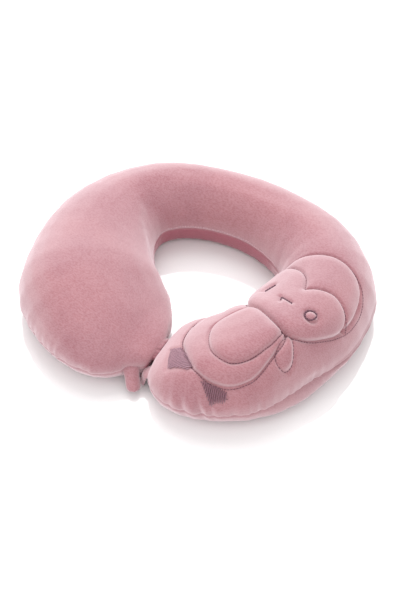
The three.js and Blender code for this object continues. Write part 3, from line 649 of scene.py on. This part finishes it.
def part_of(mesh, keep, name, material):
    """The faces of the skin for which keep(centre) holds, shaded as part of the whole. The centre is the one
    that the face had before the lobes were pressed together."""
    normals = normals_of(mesh)
    bm = bmesh.new()
    bm.from_mesh(mesh)
    index = bm.verts.layers.int.new("index")
    for i, vert in enumerate(bm.verts):
        vert[index] = i
    rest_x = bm.verts.layers.float["rest_x"]

    def centre(face):
        spot = face.calc_center_median()
        spot.x = sum(vert[rest_x] for vert in face.verts) / len(face.verts)
        return spot

    bmesh.ops.delete(bm, geom=[f for f in bm.faces if not keep(centre(f))], context="FACES")
    order = [vert[index] for vert in bm.verts]
    bm.verts.layers.int.remove(index)
    part = bpy.data.meshes.new(name)
    bm.to_mesh(part)
    bm.free()
    shade_smooth(part)
    part.normals_split_custom_set_from_vertices(normals[order].tolist())
    part.materials.append(material)
    return from_mesh(part, name)


# ---------------------------------------------------------------- materials
def material(name, build, roughness=0.9, metallic=0.0):
    made = bpy.data.materials.new(name)
    made.use_nodes = True
    tree = made.node_tree
    shader = tree.nodes["Principled BSDF"]
    shader.inputs["Roughness"].default_value = roughness
    shader.inputs["Metallic"].default_value = metallic
    build(tree, shader)
    return made


def noise_texture(tree, scale, detail, stretch=(1, 1, 1)):
    place = tree.nodes.new("ShaderNodeTexCoord")
    mapping = tree.nodes.new("ShaderNodeMapping")
    mapping.inputs["Scale"].default_value = stretch
    texture = tree.nodes.new("ShaderNodeTexNoise")
    texture.inputs["Scale"].default_value = scale
    texture.inputs["Detail"].default_value = detail
    tree.links.new(place.outputs["Object"], mapping.inputs["Vector"])
    tree.links.new(mapping.outputs["Vector"], texture.inputs["Vector"])
    return texture.outputs["Fac"]


def ramp(tree, factor, low, high, at=(0.35, 0.65)):
    node = tree.nodes.new("ShaderNodeValToRGB")
    node.color_ramp.elements[0].position, node.color_ramp.elements[1].position = at
    node.color_ramp.elements[0].color = (*low, 1)
    node.color_ramp.elements[1].color = (*high, 1)
    tree.links.new(factor, node.inputs["Fac"])
    return node.outputs["Color"]


MIX_A, MIX_B, MIX_RESULT = 6, 7, 2  # the colour sockets of a mix node


def mixed(tree, a, b, share):
    """Two colours mixed by a number or by another socket."""
    node = tree.nodes.new("ShaderNodeMix")
    node.data_type = "RGBA"
    if isinstance(share, float):
        node.inputs["Factor"].default_value = share
    else:
        tree.links.new(share, node.inputs["Factor"])
    tree.links.new(a, node.inputs[MIX_A])
    tree.links.new(b, node.inputs[MIX_B])
    return node.outputs[MIX_RESULT]


def plain(tree, colour):
    node = tree.nodes.new("ShaderNodeRGB")
    node.outputs["Color"].default_value = (*colour, 1)
    return node.outputs["Color"]


def attribute(tree, name):
    node = tree.nodes.new("ShaderNodeAttribute")
    node.attribute_name = name
    return node.outputs["Fac"]


def bump(tree, shader, height, strength, reach):
    node = tree.nodes.new("ShaderNodeBump")
    node.inputs["Strength"].default_value = strength
    node.inputs["Distance"].default_value = reach
    tree.links.new(height, node.inputs["Height"])
    tree.links.new(node.outputs["Normal"], shader.inputs["Normal"])


def velour(tree, shader):
    """Short pile: slow patches where the nap lies over and a fine grain, with a painted pale sheen at grazing
    angles, painted floor light low down, and painted shade in the crevice and under the neck seam.
    """
    cool = ramp(tree, noise_texture(tree, PATCH_SCALE, 5), PLUSH_DEEP, PLUSH, (0.1, 0.55))
    warm = ramp(tree, noise_texture(tree, PATCH_SCALE, 5), PLUSH_DEEP, PLUSH_WARM, (0.1, 0.55))
    warmth = ramp(tree, noise_texture(tree, WARMTH_SCALE, 4), (0, 0, 0), (1, 1, 1), (0.4, 0.6))
    pile = noise_texture(tree, PILE_SCALE, 6, PILE_STRETCH)
    grain = ramp(tree, pile, PLUSH_DEEP, PLUSH, (0.38, 0.58))
    facing = tree.nodes.new("ShaderNodeLayerWeight")
    facing.inputs["Blend"].default_value = 0.3
    # painted sheen: the pile turns paler where it is seen at a grazing angle
    edges = ramp(tree, facing.outputs["Facing"], (0, 0, 0), (0.75, 0.75, 0.75), (0.08, 0.8))
    pale = plain(tree, PLUSH_PAINTED_SHEEN)
    colour = mixed(tree, mixed(tree, cool, warm, warmth), grain, 0.55)
    colour = mixed(tree, colour, pale, edges)
    # painted floor light: paler pile low down
    colour = mixed(tree, colour, pale, attribute(tree, "by_floor"))
    # painted shade: darker pile in the crevice and under the neck seam
    colour = mixed(tree, colour, plain(tree, PLUSH_PAINTED_SHADE), attribute(tree, "against_nap"))
    tree.links.new(colour, shader.inputs["Base Color"])
    bump(tree, shader, pile, 0.7, 0.6 * MM)
    shader.inputs["Sheen Weight"].default_value = 0.6
    shader.inputs["Sheen Roughness"].default_value = 0.4
    shader.inputs["Sheen Tint"].default_value = (*PLUSH_SHEEN, 1)
    shader.inputs["Specular IOR Level"].default_value = 0.1


def spun(colour):
    """Twisted thread: fine slanting light and dark bands with a soft gloss."""
    def build(tree, shader):
        dark = tuple(0.55 * c for c in colour)
        strands = noise_texture(tree, 1500, 2, (1, 2.5, 1))
        tree.links.new(ramp(tree, strands, dark, colour), shader.inputs["Base Color"])
        bump(tree, shader, strands, 0.4, 0.2 * MM)
        shader.inputs["Sheen Weight"].default_value = 0.2
    return build


def woven(colour, scale=1400):
    """Plain weave: two crossed sets of stretched noise."""
    def build(tree, shader):
        dark = tuple(0.75 * c for c in colour)
        warp = ramp(tree, noise_texture(tree, scale, 2, (1, 0.15, 1)), dark, colour)
        weft = ramp(tree, noise_texture(tree, scale, 2, (0.15, 1, 1)), dark, colour)
        tree.links.new(mixed(tree, warp, weft, 0.5), shader.inputs["Base Color"])
        bump(tree, shader, noise_texture(tree, scale, 2), 0.3, 0.2 * MM)
    return build


def cellular(tree, shader):
    """Open cell foam."""
    cells = noise_texture(tree, 1200, 4)
    tree.links.new(ramp(tree, cells, (0.62, 0.52, 0.33), (0.86, 0.78, 0.60)), shader.inputs["Base Color"])
    bump(tree, shader, cells, 0.8, 0.4 * MM)


def nickel(tree, shader):
    """Drawn metal with a faint brushed grain."""
    grain = noise_texture(tree, 900, 3, (1, 0.1, 1))
    tree.links.new(ramp(tree, grain, (0.50, 0.49, 0.48), (0.66, 0.65, 0.64)), shader.inputs["Base Color"])
    bump(tree, shader, grain, 0.15, 0.1 * MM)


VELOUR = material("velour", velour, 1.0)
SEWING = material("sewing_thread", spun(THREAD), 0.7)
PINK_SEWING = material("pink_thread", spun((0.86, 0.58, 0.64)), 0.7)
SATIN_PALE = material("satin_pale", spun(SATIN_LIGHT), 0.45)
SATIN_DEEP = material("satin_deep", spun(SATIN_DARK), 0.45)
TAPE = material("zip_tape", woven((0.60, 0.33, 0.38)), 0.85)
COTTON = material("lining_cotton", woven((0.85, 0.82, 0.77)), 0.9)
FOAM = material("foam", cellular, 0.95)
BATTING = material("batting", woven((0.90, 0.88, 0.84), 500), 1.0)
COIL = material("zip_coil", spun((0.52, 0.28, 0.32)), 0.4)
METAL = material("nickel", nickel, 0.32, 0.9)


# ---------------------------------------------------------------- threads laid on the skin
class Surface:
    """The finished skin, asked for the point under a plan point or nearest to a point in space."""

    def __init__(self, mesh):
        polygons = [list(p.vertices) for p in mesh.polygons]
        self.tree = BVHTree.FromPolygons([v.co.copy() for v in mesh.vertices], polygons)

    def below(self, x, y):
        point, normal, _, _ = self.tree.ray_cast(Vector((x, y, 0.2)), Vector((0, 0, -1)))
        return point, normal

    def near(self, spot):
        point, normal, _, _ = self.tree.find_nearest(Vector(spot))
        return point, normal


def walk(line, pitch, closed):
    """Points every `pitch` along a line."""
    if closed:
        line = np.vstack([line, line[:1]])
    steps = np.linalg.norm(np.diff(line, axis=0), axis=1)
    reach = np.concatenate([[0], np.cumsum(steps)])
    at = np.arange(0, reach[-1], pitch)
    return np.column_stack([np.interp(at, reach, line[:, k]) for k in range(line.shape[1])])


def add_strand(bm, path, radius, taper=0.35):
    """A thread through the points of `path`, each with its normal, thin at both ends."""
    rings = []
    for i, (point, normal) in enumerate(path):
        before, after = path[max(i - 1, 0)][0], path[min(i + 1, len(path) - 1)][0]
        along = (after - before).normalized()
        across = along.cross(normal).normalized()
        up = across.cross(along)
        r = radius * (taper if i in (0, len(path) - 1) else 1)
        ring = []
        for turn in (2 * math.pi * k / STRAND_SIDES for k in range(STRAND_SIDES)):
            ring.append(bm.verts.new(point + across * (r * math.cos(turn)) + up * (r * math.sin(turn))))
        rings.append(ring)
    join_rings(bm, rings)


def join_rings(bm, rings):
    """A closed tube through rings of vertices."""
    for a, b in zip(rings, rings[1:]):
        for k in range(len(a)):
            n = (k + 1) % len(a)
            bm.faces.new((a[k], a[n], b[n], b[k]))
    bm.faces.new(rings[0][::-1])
    bm.faces.new(rings[-1])


def piece_of(bm, name, paint, body=None):
    """A finished piece of one material, which rides on a body if one is named."""
    bmesh.ops.recalc_face_normals(bm, faces=bm.faces)
    mesh = bpy.data.meshes.new(name)
    bm.to_mesh(mesh)
    bm.free()
    shade_smooth(mesh)
    mesh.materials.append(paint)
    piece = from_mesh(mesh, name)
    if body:
        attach(piece, body)
    return piece


def stitch(bm, surface, start, end, radius):
    """One stitch between two plan points, rising a little in its middle."""
    path = []
    for share, rise in STITCH_ARC:
        spot = start + (end - start) * share
        point, normal = surface.below(*spot)
        if point is None:
            return
        path.append((point + normal * (radius * rise), normal))
    add_strand(bm, path, radius)


def stitched_line(surface, name, line, closed, radius):
    """A row of stitches along a plan line, as one piece on the right arm."""
    bm = bmesh.new()
    for start, ahead in zip(*segments(walk(line, STITCH_PITCH, closed), False)):
        end = start + (ahead - start) * (STITCH_LENGTH / STITCH_PITCH)
        stitch(bm, surface, start, end, radius)
    return piece_of(bm, name, SEWING, "right")


def satin(surface, name, outline, direction, radius, paint):
    """Parallel threads that fill an outline, each a little above the plush and curving down at its ends."""
    turn = math.radians(direction)
    along = np.array((math.cos(turn), math.sin(turn)))
    across = np.array((-math.sin(turn), math.cos(turn)))
    a, b = segments(outline, True)
    rows = outline @ across
    bm = bmesh.new()
    for row in np.arange(rows.min() + radius, rows.max(), 2 * radius + SATIN_SPACE):
        side_a, side_b = a @ across - row, b @ across - row
        crossing = np.sign(side_a) != np.sign(side_b)
        share = side_a[crossing] / (side_a[crossing] - side_b[crossing])
        hits = np.sort((a[crossing] + (b - a)[crossing] * share[:, None]) @ along)
        for start, end in zip(hits[::2], hits[1::2]):
            count = max(int((end - start) / SATIN_STEP), 2)
            path = []
            for k, reach in enumerate(np.linspace(start, end, count + 1)):
                point, normal = surface.below(*(along * reach + across * row))
                lift = -SATIN_SINK if k in (0, count) else SATIN_RISE
                if point is not None:
                    path.append((point + normal * (radius * lift), normal))
            if len(path) > 2:
                add_strand(bm, path, radius, 0.6)
    return piece_of(bm, name, paint, "right")


def penguin(surface):
    """The stitched outlines and the satin feet, laid on the finished skin."""
    threads = (
        ("head", HEAD, True, THREAD_RADIUS),
        ("face", CHEEK_LINE, False, THREAD_RADIUS),
        ("body", BODY_LINE, False, THREAD_RADIUS),
        ("belly", BELLY_LINE, False, THREAD_RADIUS),
        ("flipper", FLIPPER_LINE, False, THREAD_RADIUS),
        ("eye_right", EYE_RIGHT, True, EYE_RADIUS["right"]),
        ("eye_left", EYE_LEFT, True, EYE_RADIUS["left"]),
        ("beak", BEAK, False, BEAK_RADIUS),
    )
    for name, line, closed, radius in threads:
        piece = stitched_line(surface, f"thread_{name}", line, closed, radius)
        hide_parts(name if name in NODES else f"stitch_{name}")
    feet = (
        ("left", FOOT_LEFT, SATIN_PALE, "satin_light"),
        ("right", FOOT_RIGHT, SATIN_DEEP, "satin_dark"),
    )
    for side, outline, paint, slot in feet:
        foot = satin(surface, f"satin_foot_{side}", outline, SATIN_TURN[side], SATIN_RADIUS[side], paint)
        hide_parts(f"foot_{side}")


# ---------------------------------------------------------------- the pieces of the cover
def bend_with_back(piece):
    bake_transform(piece, "right", "left", (HINGE_X + BACK_REACH, 0, 0), (HINGE_X - BACK_REACH, 0, 0))


def dress(skin):
    """Splits the skin into the two arms and the back that bends between them."""
    mesh = skin.data
    back_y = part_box("neck_stitch_right")[1].y - BACK_REACH * 0.5

    def at_back(c):
        return c.y > back_y and abs(c.x - HINGE_X) < BACK_REACH

    def on_right(c):
        return c.x >= (HINGE_X if c.y > 0 else GAP.x)

    right = part_of(mesh, lambda c: on_right(c) and not at_back(c), "velour_right", VELOUR)
    back = part_of(mesh, at_back, "velour_back", VELOUR)
    left = part_of(mesh, lambda c: not on_right(c) and not at_back(c), "velour_left", VELOUR)
    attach(right, "right")
    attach(left, "left")
    bend_with_back(back)
    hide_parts("cover_top_right", "cover_bottom_right", "seam_cord_back_right",
                "seam_cord_front_right")
    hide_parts("cover_top_left", "cover_bottom_left", "seam_cord_left")


def neck_topstitch(surface):
    """The dotted row just above the seam round the neck, in three pieces so that it bends with the back."""
    rows = {"right": [], "back": [], "left": []}
    opening = np.mean(frame["record"]["physics"]["openings"][0]["box_m"], axis=0)
    for side in ("right", "left"):
        rings = points_of(f"neck_stitch_{side}")
        angle = np.arctan2(rings[:, 0] - opening[0], opening[1] - rings[:, 1])
        line = walk(rings[np.argsort(angle)], STITCH_PITCH, False)
        for start, ahead in zip(line, line[1:]):
            if np.linalg.norm(ahead - start) > 1.5 * STITCH_PITCH:
                continue
            key = "back" if start[1] > 0 and abs(start[0] - HINGE_X) < BACK_REACH else side
            rows[key].append((Vector(start), Vector(start + (ahead - start) * TOPSTITCH_SHARE)))
    for key, stitches in rows.items():
        if not stitches:
            continue
        bm = bmesh.new()
        for start, end in stitches:
            path = []
            for share, rise in TOPSTITCH_ARC:
                spot = start.lerp(end, share) + Vector((0, 0, TOPSTITCH_UP))
                point, normal = surface.near(spot)
                path.append((point + normal * (TOPSTITCH_RADIUS * rise), normal))
            if (path[-1][0] - path[0][0]).length < STITCH_PITCH:
                add_strand(bm, path, TOPSTITCH_RADIUS)
        piece = piece_of(bm, f"topstitch_{key}", PINK_SEWING)
        if key == "back":
            bend_with_back(piece)
            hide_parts("neck_stitch_right", "neck_stitch_left")
        else:
            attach(piece, key)


def soft_tab(side):
    """A tab of doubled velour, rolled at its edges and a little cupped, over the CAD strap and on into the
    seam."""
    node = f"strap_{side}"
    joint = next(j for j in frame["joints"] if j["child"] == f"tab_{side}")
    root, across = np.array(joint["pos_m"]), np.array(joint["axis"])
    spots = coordinates(NODES[node].data) - root
    along = spots.mean(0) - across * (spots.mean(0) @ across)
    along /= np.linalg.norm(along)
    up = np.cross(across, along)
    length, half = (spots @ along).max(), (spots @ across).max()
    low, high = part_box(f"cover_bottom_{side}")
    inward = np.array((low + high) / 2) * (1, 0, 0) + root * (0, 1, 1) - root
    inward /= np.linalg.norm(inward)
    bm = bmesh.new()
    rings = []
    for v in np.linspace(-TAB_INTO_SEAM, 1, TAB_RINGS):
        tip = max(0.0, v - TAB_ROUND_FROM) / (1 - TAB_ROUND_FROM)
        width = half * (1 - tip ** 3) ** 0.5 * (1 - TAB_WAIST * math.sin(math.pi * max(v, 0)))
        thick = TAB_HALF * (1 - 0.4 * tip ** 3) * (1 + TAB_RIPPLE * math.sin(8 * v))
        sewn_in = inward * (1.1 * length * max(-v, 0))
        seat = root + along * (length * v) + sewn_in + up * TAB_LIFT + TAB_SWAY[side]
        ring = []
        for turn in np.linspace(0, 2 * np.pi, TAB_SIDES, endpoint=False):
            c, d = math.cos(turn), math.sin(turn)
            x = c * width
            z = d * thick - TAB_CUP * (x / half) ** 2 * (0.4 + 0.6 * v)
            ring.append(bm.verts.new(seat + across * x + up * z))
        rings.append(ring)
    join_rings(bm, rings)
    bmesh.ops.remove_doubles(bm, verts=bm.verts, dist=0.05 * MM)
    tab = piece_of(bm, f"velour_tab_{side}", VELOUR, f"tab_{side}")
    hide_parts(node)


def stud_half(side, node):
    """A half of the press stud with its edges rounded, moved to where its tab hangs."""
    bm = bmesh.new()
    bm.from_mesh(NODES[node].data)
    bmesh.ops.dissolve_limit(bm, angle_limit=math.radians(2), verts=bm.verts, edges=bm.edges)
    sharp = [edge for edge in bm.edges if edge.calc_face_angle(0) > math.radians(40)]
    bmesh.ops.bevel(bm, geom=sharp, offset=STUD_BEVEL, segments=2, affect="EDGES")
    bmesh.ops.translate(bm, verts=bm.verts, vec=TAB_SWAY[side])
    half = piece_of(bm, f"{node}_pressed", COIL, f"tab_{side}")
    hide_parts(node)


def paint_inside():
    """Materials for the CAD pieces that stay as they are, by the first name that fits."""
    paints = {"liner": COTTON, "foam": FOAM, "wadding": BATTING, "zip_tape": TAPE, "zip_teeth": COIL,
              "zip": METAL}
    for name, node in NODES.items():
        paint = next((paints[start] for start in paints if name.startswith(start)), None)
        if paint:
            node.data.materials.clear()
            node.data.materials.append(paint)


# ---------------------------------------------------------------- floor, light and camera
def stage():
    bpy.ops.mesh.primitive_plane_add(size=8, location=(0, 0, -0.3 * MM))
    floor = bpy.context.object
    floor.name = "floor"

    def paper(tree, shader):
        shader.inputs["Base Color"].default_value = (0.90, 0.90, 0.90, 1)
        shader.inputs["Specular IOR Level"].default_value = 0.8

    floor.data.materials.append(material("paper", paper, 0.05))

    world = bpy.data.worlds.new("studio")
    bpy.context.scene.world = world
    world.use_nodes = True
    world.node_tree.nodes["Background"].inputs["Color"].default_value = (1, 1, 1, 1)
    world.node_tree.nodes["Background"].inputs["Strength"].default_value = 1.0

    lamps = (
        ("key", (-0.48, 0.85, 1.15), 1.3, 16.5),
        ("fill_right", (0.8, -1.0, 0.55), 1.0, 2.5),
        ("fill_left", (-0.8, -0.9, 0.5), 1.0, 3),
    )
    for name, spot, size, power in lamps:
        lamp = bpy.data.lights.new(name, "AREA")
        lamp.shape = "DISK"
        lamp.size = size
        lamp.energy = power
        holder = bpy.data.objects.new(name, lamp)
        holder.location = spot
        holder.rotation_euler = (-Vector(spot)).to_track_quat("-Z", "Y").to_euler()
        bpy.context.scene.collection.objects.link(holder)
    bpy.context.scene.view_settings.view_transform = "Standard"


def camera():
    """Seen from the front right and above, framed as in the 400 x 600 picture."""
    azimuth, elevation = math.radians(28.82), math.radians(46.4)
    away = 1.4794
    target = Vector((1.33, 5.94, 30.0)) * MM
    back = Vector((math.sin(azimuth) * math.cos(elevation), -math.cos(azimuth) * math.cos(elevation),
                   math.sin(elevation)))
    right = Vector((math.cos(azimuth), math.sin(azimuth), 0))
    lens = bpy.data.cameras.new("camera")
    lens.sensor_width = 36
    lens.lens = 121.6
    lens.shift_x = -0.0031
    lens.shift_y = -0.0466
    eye = bpy.data.objects.new("camera", lens)
    turn = Matrix((right, back.cross(right), back)).transposed()
    eye.matrix_world = Matrix.Translation(target + back * away) @ turn.to_4x4()
    bpy.context.scene.collection.objects.link(eye)
    bpy.context.scene.camera = eye


# ---------------------------------------------------------------- build
skin = make_skin()
surface = Surface(skin.data)
dress(skin)
penguin(surface)
neck_topstitch(surface)
for side in ("right", "left"):
    soft_tab(side)
stud_half("left", "stud_socket")
stud_half("right", "stud_knob")
remove(skin)
paint_inside()
stage()
camera()
